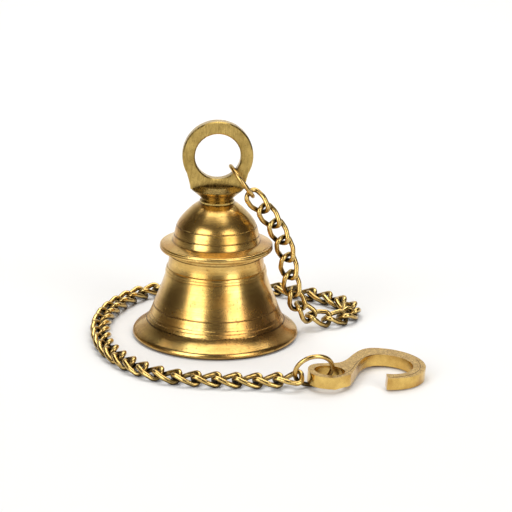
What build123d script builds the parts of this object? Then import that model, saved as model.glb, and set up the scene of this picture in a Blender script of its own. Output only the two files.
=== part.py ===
from build123d import *
import math
import os

# Hanging temple bell: cast shell, screwed-in crown ring, loose clapper, curb chain and a flat S hook.
# Millimetres. Origin on the bell's axis in the plane of its mouth, +Z up through the crown ring,
# -Y towards the front. The bell stands on its mouth and the chain lies round it on the same plane.

# Bell shell
mouth_r = 45.0
lip_height = 2.4
lip_inner_r = 40.6
flange_r = 30.5
flange_bottom, flange_top = 48.2, 51.4
waist_top_r = 25.5
dome_base_r, dome_base_z = 23.7, 52.9
dome_top_r, dome_top_z = 8.9, 74.4
band_low_z, band_high_z = 35.3, 38.7
groove_r = 0.42
line_r = 0.3

# Crown casting
neck_r, neck_z = 8.4, 74.4
collar_r, collar_z = 14.0, 81.7
ledge_z = 83.5
ring_hole_r, ring_hole_z = 12.2, 99.6
ring_outer_r = 19.0
ring_thick = 6.0
ring_foot_half = 14.4
ring_yaw = 5.0
stem_r, stem_clearance = 3.0, 0.1
nut_flats, nut_height = 9.0, 3.6
washer_r, washer_thick = 6.0, 0.8
under_dome_z = 70.4

# Clapper
eye_r, eye_wire_r = 3.6, 1.2
clapper_link_r, clapper_link_wire_r = 4.2, 0.9
hang_gap = 0.12
stem_eye_z = 60.0
rod_r = 1.7
ball_r, ball_z = 8.0, 18.5
tail_z = 7.5

# Curb chain
wire_d = 2.6
link_half_length = 6.75
crown_half_width = 4.1
side_half_width = 4.4
crown_tilt = 45.0
crown_bend, side_bend = 2.8, 8.0
pitch = 10.4
link_count = 46
lay_z = 3.4

# Jump rings
upper_jump_r, lower_jump_r, jump_wire_d = 10.0, 9.7, 2.3

# Hook
hook_thick = 6.2
hook_rise = 3.0
hook_far_x = 109.5

# The way the chain lies, from the upper jump ring down to the hook: hand-laid points.
route = [
    (18.2, -3.2, 79.4),
    (25.0, -3.0, 71.6),
    (30.9, -2.4, 63.4),
    (35.4, -1.6, 54.3),
    (38.3, -0.6, 44.4),
    (39.8, 0.4, 34.4),
    (41.6, 1.8, 24.4),
    (45.0, 4.4, 15.0),
    (51.4, 8.4, 7.8),
    (59.8, 12.2, 4.9),
    (68.6, 16.6, 4.2),
    (75.0, 24.4, 3.75),
    (76.0, 35.6, lay_z),
    (70.4, 46.2, lay_z),
    (61.4, 54.4, lay_z),
    (51.0, 60.6, lay_z),
    (36.0, 67.0, lay_z),
    (17.0, 71.5, lay_z),
    (-4.0, 72.7, lay_z),
    (-25.0, 67.9, lay_z),
    (-41.0, 58.8, lay_z),
    (-52.3, 43.4, lay_z),
    (-59.8, 24.0, lay_z),
    (-62.6, 4.0, lay_z),
    (-61.0, -17.0, lay_z),
    (-56.4, -35.5, lay_z),
    (-47.6, -53.0, lay_z),
    (-35.0, -68.0, lay_z),
    (-18.0, -77.6, lay_z),
    (2.0, -80.4, lay_z),
    (21.0, -80.8, lay_z),
    (33.4, -81.6, 4.2),
    (44.1, -82.7, 6.4),
    (50.0, -83.4, 8.6),
]

# Which way a link's broad face looks, by link number, eased between the numbers given.
faces = [
    (1, (-0.15, -1.0, 0.10)),
    (4, (-0.10, -1.0, 0.05)),
    (6, (0.15, -0.95, 0.1)),
    (8, (0.35, -0.7, 0.6)),
    (10, (0.1, -0.25, 1.0)),
    (12, (0.0, 0.0, 1.0)),
    (link_count, (0.0, 0.0, 1.0)),
]


def ring(major_r, wire_r):
    return Torus(major_r, wire_r)


def bell_outline():
    with BuildSketch(Plane.XZ) as outline:
        with BuildLine():
            lip = ThreePointArc((43.2, 0), (44.6, 0.7), (mouth_r, lip_height - 0.8))
            shoulder = ThreePointArc(lip @ 1, (44.7, 2.7), (43.6, 3.9))
            flare = Spline(
                shoulder @ 1, (40.3, 6.3), (37.3, 9.4), (33.6, 17.6), (27.1, band_low_z),
                tangents=[(-1.0, 0.75), (-0.27, 1.0)],
            )
            Line(flare @ 1, (27.5, band_low_z + 0.4))
            Line((27.5, band_low_z + 0.4), (26.8, band_high_z - 0.4))
            Line((26.8, band_high_z - 0.4), (26.2, band_high_z))
            waist = Spline((26.2, band_high_z), (25.5, 43.4), (waist_top_r, flange_bottom - 1.0),
                           tangents=[(-0.25, 1.0), (0.05, 1.0)])
            Line(waist @ 1, (flange_r - 1.2, flange_bottom))
            under = ThreePointArc((flange_r - 1.2, flange_bottom), (flange_r - 0.3, flange_bottom + 0.4),
                                  (flange_r, flange_bottom + 1.2))
            over = Line(under @ 1, (flange_r - 0.1, flange_top - 0.8))
            crest = ThreePointArc(over @ 1, (flange_r - 0.5, flange_top - 0.15), (flange_r - 1.3, flange_top))
            Line(crest @ 1, (dome_base_r, dome_base_z))
            Spline((dome_base_r, dome_base_z), (22.8, 56.9), (21.2, 62.2), (16.4, 68.6), (dome_top_r, dome_top_z),
                   tangents=[(-0.15, 1.0), (-1.0, 0.45)])
            Line((dome_top_r, dome_top_z), (stem_r + stem_clearance, dome_top_z))
            Line((stem_r + stem_clearance, dome_top_z), (stem_r + stem_clearance, under_dome_z))
            Line((stem_r + stem_clearance, under_dome_z), (7.6, under_dome_z))
            inside = Spline((7.6, under_dome_z), (15.0, 65.6), (19.6, 58.0), (21.6, 49.0), (22.6, 40.0),
                            (26.6, 24.0), (33.0, 10.0), (lip_inner_r, 0.9))
            Line(inside @ 1, (lip_inner_r + 0.5, 0))
            Line((lip_inner_r + 0.5, 0), (43.2, 0))
        make_face()
    return outline.sketch


def scribed_lines():
    grooves = [(37.4, 9.1, groove_r), (35.75, 12.9, groove_r), (33.75, 17.3, groove_r), (36.35, 11.2, line_r),
               (22.95, 56.5, groove_r), (21.55, 61.5, groove_r), (flange_r + 0.02, 50.0, line_r),
               (25.55, 45.6, line_r), (27.35, 37.0, line_r)]
    return [Pos(0, 0, z) * ring(r, cut_r) for r, z, cut_r in grooves]


def bell_shell():
    shell = revolve(bell_outline(), axis=Axis.Z)
    for groove in scribed_lines():
        shell -= groove
    return shell


def crown_plate():
    side_z = 90.5
    with BuildSketch(Plane.XZ) as plate:
        with BuildLine():
            right_shoulder = (16.4, side_z)
            left_shoulder = (-16.4, side_z)
            top = ThreePointArc(right_shoulder, (0, ring_hole_z + ring_outer_r), left_shoulder)
            Spline(top @ 1, (-15.4, 86.8), (-ring_foot_half, ledge_z - 1.6), tangents=[(0.3, -1.0), (0.1, -1.0)])
            Line((-ring_foot_half, ledge_z - 1.6), (ring_foot_half, ledge_z - 1.6))
            Spline((ring_foot_half, ledge_z - 1.6), (15.4, 86.8), right_shoulder,
                   tangents=[(0.1, 1.0), (0.3, 1.0)])
        make_face()
        with Locations((0, ring_hole_z)):
            Circle(ring_hole_r, mode=Mode.SUBTRACT)
    solid = extrude(plate.sketch, amount=ring_thick / 2, both=True)
    rims = [e for e in solid.edges() if abs(abs(e.center().Y) - ring_thick / 2) < 0.01 and e.center().Z > ledge_z]
    return chamfer(rims, 0.7)


def collar_and_neck():
    with BuildSketch(Plane.XZ) as profile:
        with BuildLine():
            Polyline((0, neck_z), (neck_r + 0.9, neck_z), (neck_r + 0.9, neck_z + 0.9), (neck_r, neck_z + 1.7),
                     (neck_r + 0.6, neck_z + 2.8), (collar_r - 0.5, collar_z - 0.6), (collar_r, collar_z),
                     (collar_r - 0.3, collar_z + 0.4), (9.0, ledge_z), (0, ledge_z), (0, neck_z))
        make_face()
    return revolve(profile.sketch, axis=Axis.Z)


def crown_ring():
    stem_bottom = stem_eye_z + eye_r
    body = Rot(0, 0, ring_yaw) * crown_plate() + collar_and_neck()
    body += Pos(0, 0, (neck_z + stem_bottom) / 2) * Cylinder(stem_r, neck_z - stem_bottom + 1.0)
    body = body - Pos(0, 0, stem_bottom - 2.0) * Box(8, 8, 2.6)
    body += Pos(0, 0, stem_eye_z) * Rot(0, 90, 0) * ring(eye_r, eye_wire_r)
    return body


def stem_washer():
    z = under_dome_z - washer_thick / 2
    return Pos(0, 0, z) * (Cylinder(washer_r, washer_thick) - Cylinder(stem_r + stem_clearance, 3))


def stem_nut():
    z = under_dome_z - washer_thick - nut_height / 2
    blank = extrude(RegularPolygon(nut_flats / 2, 6, major_radius=False), amount=nut_height / 2, both=True)
    return Pos(0, 0, z) * (blank - Cylinder(stem_r + 0.02, nut_height * 2))


# Heights down the clapper's hanging line
link_top_z = stem_eye_z - eye_r + eye_wire_r + clapper_link_wire_r + hang_gap
clapper_link_z = link_top_z - clapper_link_r
rod_eye_z = clapper_link_z - clapper_link_r + clapper_link_wire_r + eye_wire_r + hang_gap - eye_r


def clapper_link():
    return Pos(0, 0, clapper_link_z) * Rot(90, 0, 0) * ring(clapper_link_r, clapper_link_wire_r)


def clapper_rod():
    top = rod_eye_z - eye_r
    rod = Pos(0, 0, (top + ball_z) / 2) * Cylinder(rod_r, top - ball_z)
    return rod + Pos(0, 0, rod_eye_z) * Rot(0, 90, 0) * ring(eye_r, eye_wire_r)


def clapper_ball():
    ball = Pos(0, 0, ball_z) * Sphere(ball_r)
    ball += Pos(0, 0, ball_z + ball_r) * Cylinder(3.0, 3.6)
    ball += Pos(0, 0, ball_z - ball_r) * Cylinder(2.4, 2 * (ball_z - ball_r - tail_z - 2.4))
    ball += Pos(0, 0, tail_z + 2.4) * Sphere(2.4)
    return ball - Pos(0, 0, ball_z + 9.98) * Cylinder(rod_r + 0.02, 20)


def curb_link():
    c, s = math.cos(math.radians(crown_tilt)), math.sin(math.radians(crown_tilt))
    a, b = link_half_length, crown_half_width
    path = FilletPolyline(
        (a, 0, 0), (a, b * c, b * s), (0, side_half_width, 0), (-a, b * c, -b * s), (-a, 0, 0),
        radius=[crown_bend, side_bend, crown_bend],
    )
    section = Plane(origin=path @ 0, z_dir=path % 0) * Circle(wire_d / 2)
    half = sweep(section, path=path)
    return half + Rot(180, 0, 0) * half


def point_at_chord(line, start_u, distance):
    """The place further along the line that is one chord away from the place at start_u."""
    start = line @ start_u
    low, high = start_u, min(1.0, start_u + 3.0 * distance / line.length)
    for _ in range(40):
        middle = (low + high) / 2
        if (line @ middle - start).length < distance:
            low = middle
        else:
            high = middle
    return high


def chain_joints():
    line = Spline(*route)
    u, joints = 0.0, [line @ 0]
    for _ in range(link_count):
        u = point_at_chord(line, u, pitch)
        joints.append(line @ u)
    return joints


def face_of_link(number):
    for (first, face_a), (last, face_b) in zip(faces, faces[1:]):
        if number <= last:
            share = (number - first) / (last - first)
            return Vector(*face_a) * (1 - share) + Vector(*face_b) * share
    return Vector(*faces[-1][1])


def link_place(number, joints):
    start, end = joints[number - 1], joints[number]
    along = (end - start).normalized()
    face = face_of_link(number)
    face = (face - along * along.dot(face)).normalized()
    return Plane(origin=(start + end) / 2, x_dir=along, z_dir=face).location


def upper_ring_place():
    """Through the crown ring's hole at its lower right, with its lower end in the first link."""
    down = Vector(0.61, -0.20, -0.77).normalized()
    across = Vector(0.0, 0.966, -0.25)
    across = (across - down * across.dot(down)).normalized()
    centre = Vector(*route[0]) - down * (upper_jump_r - 2.4) + Vector(-0.5, 0, 1.0)
    return Plane(origin=centre, x_dir=down, z_dir=down.cross(across)).location


def lower_ring_place():
    """Leaning over the left wall of the hook's eye, with its left end in the last link."""
    along = Vector(0.96, 0.16, 0.22).normalized()
    face = Vector(0.0, 0.94, 0.46)
    face = (face - along * along.dot(face)).normalized()
    return Plane(origin=(51.6, -82.4, 10.2), x_dir=along, z_dir=face).location


def hook_outline():
    with BuildSketch() as outline:
        with BuildLine():
            ThreePointArc((84.4, -39.9), (109.5, -61.8), (88.6, -83.6))
            Line((88.6, -83.6), (88.2, -77.2))
            bowl = ThreePointArc((88.2, -77.2), (102.9, -62.8), (88.6, -49.6))
            neck = Spline(bowl @ 1, (80.2, -53.2), (75.6, -62.0), (73.0, -72.0), (70.6, -80.2), (62.4, -88.7),
                          tangents=[(-1.0, 0.02), (-0.6, -0.55)])
            front = Line(neck @ 1, (58.0, -88.5))
            Spline(front @ 1, (50.6, -85.0), (48.4, -78.6), (51.0, -71.0), (57.6, -68.0), (64.6, -65.6),
                   (70.0, -57.8), (75.4, -46.6), (79.6, -41.8), (84.4, -39.9))
        make_face()
        with Locations((59.5, -78.2)):
            Ellipse(7.8, 6.9, mode=Mode.SUBTRACT)
    return outline.sketch


def hook():
    plate = extrude(hook_outline(), amount=hook_thick)
    return Pos(hook_far_x, 0, 0) * Rot(0, hook_rise, 0) * Pos(-hook_far_x, 0, 0) * plate


def write(node, shape):
    export_step(shape, os.path.join("parts", node + ".step"))


def main():
    os.makedirs("parts", exist_ok=True)
    write("bell_shell", bell_shell())
    write("crown_ring", crown_ring())
    write("stem_washer", stem_washer())
    write("stem_nut", stem_nut())
    write("clapper_link", clapper_link())
    write("clapper_rod", clapper_rod())
    write("clapper_ball", clapper_ball())
    write("upper_jump_ring", upper_ring_place() * ring(upper_jump_r, jump_wire_d / 2))
    link, joints = curb_link(), chain_joints()
    for number in range(1, link_count + 1):
        write(f"chain_link_{number:02d}", link_place(number, joints) * link)
    write("lower_jump_ring", lower_ring_place() * ring(lower_jump_r, jump_wire_d / 2))
    write("hook", hook())


main()
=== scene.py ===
import math
import bpy
from mathutils import Euler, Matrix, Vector


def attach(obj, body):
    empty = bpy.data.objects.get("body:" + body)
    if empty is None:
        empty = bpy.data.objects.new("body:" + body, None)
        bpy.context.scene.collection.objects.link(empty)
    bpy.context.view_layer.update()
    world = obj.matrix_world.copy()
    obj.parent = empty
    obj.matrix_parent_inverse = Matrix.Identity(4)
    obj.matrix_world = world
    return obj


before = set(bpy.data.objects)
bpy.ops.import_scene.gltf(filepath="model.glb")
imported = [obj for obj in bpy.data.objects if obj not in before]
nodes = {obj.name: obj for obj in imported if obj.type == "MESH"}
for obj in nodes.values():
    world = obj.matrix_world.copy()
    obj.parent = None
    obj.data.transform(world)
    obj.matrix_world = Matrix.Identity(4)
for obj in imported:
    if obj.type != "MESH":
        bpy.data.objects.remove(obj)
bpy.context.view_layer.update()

mm = 0.001


# Camera, at the photo's angle
camera_distance = 1.0
camera_elevation = math.radians(17.2432)
camera_roll = math.radians(1.2)
aim = Vector((0.02143, 0.0, 0.04421))

cam_data = bpy.data.cameras.new("camera")
cam_data.lens = 130.3
cam_data.sensor_width = 36.0
cam_data.clip_end = 20.0
camera = bpy.data.objects.new("camera", cam_data)
bpy.context.scene.collection.objects.link(camera)
bpy.context.scene.camera = camera
away = Vector((0.0, -math.cos(camera_elevation), math.sin(camera_elevation)))
camera.location = aim + camera_distance * away
look = (-away).to_track_quat("-Z", "Y")
camera.rotation_mode = "QUATERNION"
camera.rotation_quaternion = look @ Euler((0, 0, camera_roll)).to_quaternion()


# Node helpers
def feed(tree, socket, value):
    """Joins a socket to a socket, or sets its plain value."""
    if isinstance(value, bpy.types.NodeSocket):
        tree.links.new(value, socket)
    else:
        socket.default_value = value


def noise(tree, vector, scale, detail=3.0, rough=0.55):
    n = tree.nodes.new("ShaderNodeTexNoise")
    feed(tree, n.inputs["Vector"], vector)
    n.inputs["Scale"].default_value = scale
    n.inputs["Detail"].default_value = detail
    n.inputs["Roughness"].default_value = rough
    return n.outputs["Fac"]


def cells(tree, vector, scale):
    n = tree.nodes.new("ShaderNodeTexVoronoi")
    feed(tree, n.inputs["Vector"], vector)
    n.inputs["Scale"].default_value = scale
    return n.outputs["Distance"]


def span(tree, value, low, high, to_low=0.0, to_high=1.0):
    """Maps low to high onto to_low to to_high, clamped at both ends."""
    n = tree.nodes.new("ShaderNodeMapRange")
    feed(tree, n.inputs["Value"], value)
    n.inputs["From Min"].default_value = low
    n.inputs["From Max"].default_value = high
    n.inputs["To Min"].default_value = to_low
    n.inputs["To Max"].default_value = to_high
    return n.outputs["Result"]


def math_node(tree, operation, a, b):
    n = tree.nodes.new("ShaderNodeMath")
    n.operation = operation
    feed(tree, n.inputs[0], a)
    feed(tree, n.inputs[1], b)
    return n.outputs[0]


def mix(tree, share, a, b):
    """The first colour at share 0 and the second at share 1."""
    n = tree.nodes.new("ShaderNodeMix")
    n.data_type = "RGBA"
    feed(tree, n.inputs["Factor"], share)
    feed(tree, n.inputs["A"], (*a, 1.0) if isinstance(a, tuple) else a)
    feed(tree, n.inputs["B"], (*b, 1.0) if isinstance(b, tuple) else b)
    return n.outputs["Result"]


def stretched(tree, vector, x, y, z):
    n = tree.nodes.new("ShaderNodeMapping")
    feed(tree, n.inputs["Vector"], vector)
    n.inputs["Scale"].default_value = (x, y, z)
    return n.outputs["Vector"]


def bump(tree, height, depth, strength, normal=None):
    """Relief of a depth in metres, laid over an earlier normal if there is one."""
    n = tree.nodes.new("ShaderNodeBump")
    n.inputs["Strength"].default_value = strength
    n.inputs["Distance"].default_value = depth
    feed(tree, n.inputs["Height"], height)
    if normal is not None:
        feed(tree, n.inputs["Normal"], normal)
    return n.outputs["Normal"]


def crevice(tree, distance):
    """1 in the open and towards 0 where surfaces close in on each other."""
    n = tree.nodes.new("ShaderNodeAmbientOcclusion")
    n.samples = 8
    n.inputs["Distance"].default_value = distance
    return n.outputs["AO"]


def metal(name):
    """A bare metal material, with its node tree, its shader and its texture coordinates."""
    material = bpy.data.materials.new(name)
    material.use_nodes = True
    tree = material.node_tree
    shader = tree.nodes["Principled BSDF"]
    shader.inputs["Metallic"].default_value = 1.0
    place = tree.nodes.new("ShaderNodeTexCoord")
    return material, tree, shader, place


def turned_brass():
    """Lathe-turned and buffed bell brass with fine rings, tarnish clouds, small casting pits and
    painted shade in its grooves.
    """
    material, tree, shader, place = metal("turned_brass")
    at = place.outputs["Object"]
    clouds = noise(tree, at, 55.0, 4.0, 0.6)
    streaks = noise(tree, stretched(tree, at, 40.0, 40.0, 900.0), 1.0, 2.0)
    specks = noise(tree, at, 620.0, 3.0, 0.75)
    open_air = math_node(tree, "MULTIPLY", crevice(tree, 0.006), crevice(tree, 0.0012))
    colour = mix(tree, span(tree, clouds, 0.38, 0.68), (0.82, 0.57, 0.19), (0.58, 0.33, 0.075))
    blush = noise(tree, at, 24.0, 2.0)
    colour = mix(tree, span(tree, blush, 0.45, 0.72, 0.0, 0.75), colour, (0.58, 0.27, 0.08))
    colour = mix(tree, span(tree, streaks, 0.4, 0.7, 0.0, 0.35), colour, (0.42, 0.21, 0.045))
    colour = mix(tree, span(tree, specks, 0.56, 0.70, 0.0, 0.6), colour, (0.20, 0.10, 0.03))
    # Painted shade: the colour darkens towards near-black in the grooves and wherever surfaces close
    # in on each other.
    colour = mix(tree, span(tree, open_air, 0.35, 0.85, 0.85, 0.0), colour, (0.07, 0.035, 0.012))
    feed(tree, shader.inputs["Base Color"], colour)
    feed(tree, shader.inputs["Roughness"], span(tree, clouds, 0.3, 0.7, 0.18, 0.31))
    shader.inputs["Anisotropic"].default_value = 0.15
    around = tree.nodes.new("ShaderNodeTangent")
    around.direction_type = "RADIAL"
    around.axis = "Z"
    feed(tree, shader.inputs["Tangent"], around.outputs["Tangent"])
    rings = bump(tree, streaks, 0.00004, 0.35)
    pitted = span(tree, specks, 0.62, 0.72, 1.0, 0.0)
    feed(tree, shader.inputs["Normal"], bump(tree, pitted, 0.00006, 0.4, rings))
    return material


def brushed_brass(name, light, dark, rough_low, rough_high):
    """Satin brass with short brush marks and painted shade where surfaces close in: the crown casting,
    fittings, clapper, and the painted shade of the cut lines.
    """
    material, tree, shader, place = metal(name)
    at = place.outputs["Object"]
    marks = noise(tree, stretched(tree, at, 1400.0, 300.0, 220.0), 1.0, 3.0)
    clouds = noise(tree, at, 120.0, 4.0, 0.6)
    pits = cells(tree, at, 700.0)
    open_air = crevice(tree, 0.004)
    colour = mix(tree, span(tree, clouds, 0.35, 0.7), light, dark)
    colour = mix(tree, span(tree, marks, 0.45, 0.75, 0.0, 0.45), colour, tuple(0.55 * c for c in dark))
    colour = mix(tree, span(tree, pits, 0.10, 0.20, 0.5, 0.0), colour, (0.12, 0.07, 0.03))
    # Painted shade: the colour darkens towards near-black where surfaces close in on each other.
    colour = mix(tree, span(tree, open_air, 0.3, 0.85, 0.85, 0.0), colour, (0.06, 0.032, 0.012))
    feed(tree, shader.inputs["Base Color"], colour)
    feed(tree, shader.inputs["Roughness"], span(tree, marks, 0.3, 0.7, rough_low, rough_high))
    fine = bump(tree, marks, 0.00008, 0.5)
    feed(tree, shader.inputs["Normal"], bump(tree, pits, 0.00006, 0.3, fine))
    return material


def chain_brass(name, light, mid, patina, rough_low, rough_high, reach):
    """Handled chain wire: rubbed bright where it is open, nearly black in the crevices."""
    material, tree, shader, place = metal(name)
    at = place.outputs["Object"]
    clouds = noise(tree, at, 170.0, 4.0, 0.65)
    grain = noise(tree, at, 1500.0, 3.0, 0.7)
    open_air = crevice(tree, reach)
    worn = math_node(tree, "ADD", open_air, span(tree, clouds, 0.3, 0.7, -0.22, 0.22))
    colour = mix(tree, span(tree, clouds, 0.35, 0.68), light, mid)
    colour = mix(tree, span(tree, grain, 0.5, 0.75, 0.0, 0.4), colour, tuple(0.5 * c for c in mid))
    colour = mix(tree, span(tree, worn, 0.40, 0.95, 1.0, 0.0), colour, patina)
    feed(tree, shader.inputs["Base Color"], colour)
    feed(tree, shader.inputs["Roughness"], span(tree, worn, 0.3, 0.9, rough_high, rough_low))
    feed(tree, shader.inputs["Normal"], bump(tree, grain, 0.00010, 0.4))
    return material


def cast_brass():
    """Sand-cast hook: a grainy, pitted top and bottom, and filed smooth golden edges."""
    material, tree, shader, place = metal("cast_brass")
    at = place.outputs["Object"]
    grain = noise(tree, stretched(tree, at, 1150.0, 620.0, 1150.0), 1.0, 3.0, 0.65)
    pits = cells(tree, stretched(tree, at, 420.0, 240.0, 420.0), 1.0)
    clouds = noise(tree, at, 110.0, 4.0, 0.6)
    split = tree.nodes.new("ShaderNodeSeparateXYZ")
    feed(tree, split.inputs[0], place.outputs["Normal"])
    flat = span(tree, math_node(tree, "ABSOLUTE", split.outputs["Z"], 0.0), 0.75, 0.95)
    top = mix(tree, span(tree, clouds, 0.35, 0.7), (0.60, 0.40, 0.13), (0.46, 0.29, 0.085))
    top = mix(tree, span(tree, grain, 0.50, 0.66, 0.0, 0.6), top, (0.24, 0.12, 0.04))
    top = mix(tree, span(tree, grain, 0.36, 0.48, 0.5, 0.0), top, (0.86, 0.64, 0.27))
    top = mix(tree, span(tree, pits, 0.06, 0.16, 0.6, 0.0), top, (0.10, 0.055, 0.02))
    edge = mix(tree, span(tree, clouds, 0.35, 0.7), (0.78, 0.54, 0.16), (0.50, 0.28, 0.07))
    edge = mix(tree, span(tree, grain, 0.60, 0.72, 0.0, 0.35), edge, (0.22, 0.11, 0.035))
    colour = mix(tree, flat, edge, top)
    feed(tree, shader.inputs["Base Color"], colour)
    feed(tree, shader.inputs["Roughness"], span(tree, flat, 0.0, 1.0, 0.20, 0.42))
    rough_height = math_node(tree, "MULTIPLY", grain, span(tree, flat, 0.0, 1.0, 0.10, 1.0))
    coarse = bump(tree, rough_height, 0.00030, 0.6)
    pit_height = math_node(tree, "MULTIPLY", pits, flat)
    feed(tree, shader.inputs["Normal"], bump(tree, pit_height, 0.00020, 0.5, coarse))
    return material


def plain(name, colour, rough):
    """A matt studio surface of one colour."""
    material = bpy.data.materials.new(name)
    material.use_nodes = True
    tree = material.node_tree
    shader = tree.nodes["Principled BSDF"]
    shader.inputs["Base Color"].default_value = (*colour, 1.0)
    shader.inputs["Roughness"].default_value = rough
    return material


# Materials on the CAD nodes
bell_mat = turned_brass()
crown_mat = brushed_brass("crown_satin", (0.60, 0.42, 0.13), (0.36, 0.24, 0.065), 0.20, 0.36)
fitting_mat = brushed_brass("fitting_satin", (0.60, 0.42, 0.17), (0.38, 0.24, 0.09), 0.30, 0.48)
clapper_mat = brushed_brass("clapper_cast", (0.56, 0.38, 0.14), (0.34, 0.21, 0.07), 0.34, 0.52)
link_mat = chain_brass(
    "chain_wire", (0.80, 0.57, 0.20), (0.46, 0.29, 0.085), (0.022, 0.012, 0.005), 0.22, 0.48, 0.0052,
)
ring_mat = chain_brass(
    "ring_wire", (0.78, 0.55, 0.19), (0.44, 0.27, 0.08), (0.024, 0.013, 0.005), 0.20, 0.44, 0.0065,
)
hook_mat = cast_brass()
# Painted shade: dark brass colours for the cut lines, standing for the shade inside the cuts.
cut_shade_mat = brushed_brass("cut_painted_shade", (0.15, 0.085, 0.03), (0.08, 0.045, 0.015), 0.40, 0.55)

by_node = {
    "bell_shell": bell_mat,
    "crown_ring": crown_mat,
    "stem_washer": fitting_mat,
    "stem_nut": fitting_mat,
    "clapper_link": clapper_mat,
    "clapper_rod": clapper_mat,
    "clapper_ball": clapper_mat,
    "upper_jump_ring": ring_mat,
    "lower_jump_ring": ring_mat,
    "hook": hook_mat,
}
for name, thing in nodes.items():
    thing.data.materials.clear()
    thing.data.materials.append(by_node.get(name, link_mat))

# Filed edges, in millimetres
edge_widths = {"hook": 0.55, "stem_nut": 0.35, "stem_washer": 0.15}
for name, width in edge_widths.items():
    rounded = nodes[name].modifiers.new("filed_edges", "BEVEL")
    rounded.width = width * mm
    rounded.segments = 3
    rounded.limit_method = "ANGLE"
    rounded.angle_limit = math.radians(45)


# The lines cut in the hook's top face, in millimetres. The hook lies tilted about its far edge.
hook_thick = 6.2
hook_tilt = math.radians(3.0)
hook_far_x = 109.5
cut_radius = 0.16
cut_sink = 0.06


def on_hook_top(x, y):
    """A place just under the hook's tilted top face, from its flat outline's x and y."""
    height = hook_thick - cut_sink
    along = x - hook_far_x
    return Vector((
        hook_far_x + along * math.cos(hook_tilt) + height * math.sin(hook_tilt),
        y,
        -along * math.sin(hook_tilt) + height * math.cos(hook_tilt),
    )) * mm


def cut_line(name, points):
    curve = bpy.data.curves.new(name, "CURVE")
    curve.dimensions = "3D"
    curve.bevel_depth = cut_radius * mm
    curve.bevel_resolution = 2
    curve.resolution_u = 10
    spline = curve.splines.new("NURBS")
    spline.points.add(len(points) - 1)
    for point, (x, y) in zip(spline.points, points):
        point.co = (*on_hook_top(x, y), 1.0)
    spline.order_u = 4
    spline.use_endpoint_u = True
    piece = bpy.data.objects.new(name, curve)
    bpy.context.scene.collection.objects.link(piece)
    return piece


# Lights
def softbox(name, at, towards, width, height, watts):
    data = bpy.data.lights.new(name, "AREA")
    data.shape = "RECTANGLE"
    data.size = width
    data.size_y = height
    data.energy = watts
    lamp = bpy.data.objects.new(name, data)
    lamp.location = at
    lamp.rotation_mode = "QUATERNION"
    lamp.rotation_quaternion = (Vector(towards) - Vector(at)).to_track_quat("-Z", "Y")
    bpy.context.scene.collection.objects.link(lamp)


middle = (0.02, 0.0, 0.04)
softbox("left_box", (-0.70, -0.86, 0.45), middle, 0.74, 1.1, 9.0)
softbox("right_box", (0.72, -0.86, 0.45), middle, 0.60, 1.1, 7.5)
softbox("top_box", (0.05, 0.15, 1.25), middle, 1.1, 1.1, 9.0)
softbox("back_wash", (0.0, 0.5, 1.2), (0.0, 1.6, 0.3), 1.6, 0.6, 12.0)

world = bpy.data.worlds.new("studio")
bpy.context.scene.world = world
world.use_nodes = True
sky = world.node_tree.nodes["Background"]
sky.inputs["Color"].default_value = (1.0, 0.74, 0.50, 1.0)
sky.inputs["Strength"].default_value = 0.055
bpy.context.scene.view_settings.view_transform = "Standard"


# A pale sweep: floor and backdrop in one curved sheet
def studio_sweep():
    front, bend_start, bend_radius, top = -2.2, 0.9, 0.7, 2.6
    half_width = 3.0
    steps = 8
    profile = [(front, 0.0), (bend_start, 0.0)]
    for step in range(1, steps + 1):
        turn = math.radians(90 * step / steps)
        profile.append((bend_start + bend_radius * math.sin(turn), bend_radius * (1 - math.cos(turn))))
    profile.append((bend_start + bend_radius, top))
    verts = [(x, y, z) for x in (-half_width, half_width) for y, z in profile]
    count = len(profile)
    quads = [(i, i + count, i + count + 1, i + 1) for i in range(count - 1)]
    mesh = bpy.data.meshes.new("sweep")
    mesh.from_pydata(verts, [], quads)
    for face in mesh.polygons:
        face.use_smooth = True
    sheet = bpy.data.objects.new("sweep", mesh)
    bpy.context.scene.collection.objects.link(sheet)
    sheet.data.materials.append(plain("pale_paper", (0.92, 0.92, 0.91), 0.9))
    sheet.location.z = -0.0001
    return sheet


studio_sweep()

# The cut lines are thin dark tubes in the top face, painted shade standing for the shade inside the
# cuts.
outer_line = cut_line("hook_outer_line", [
    (105.4, -52.6), (107.9, -62.0), (105.2, -72.0), (98.6, -79.2), (90.4, -81.9),
])
neck_line = cut_line("hook_neck_line", [
    (87.6, -48.2), (79.6, -51.8), (74.3, -61.6), (71.7, -71.8), (69.2, -79.6), (62.8, -86.4),
])
for line in (outer_line, neck_line):
    line.data.materials.append(cut_shade_mat)
    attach(line, "hook")
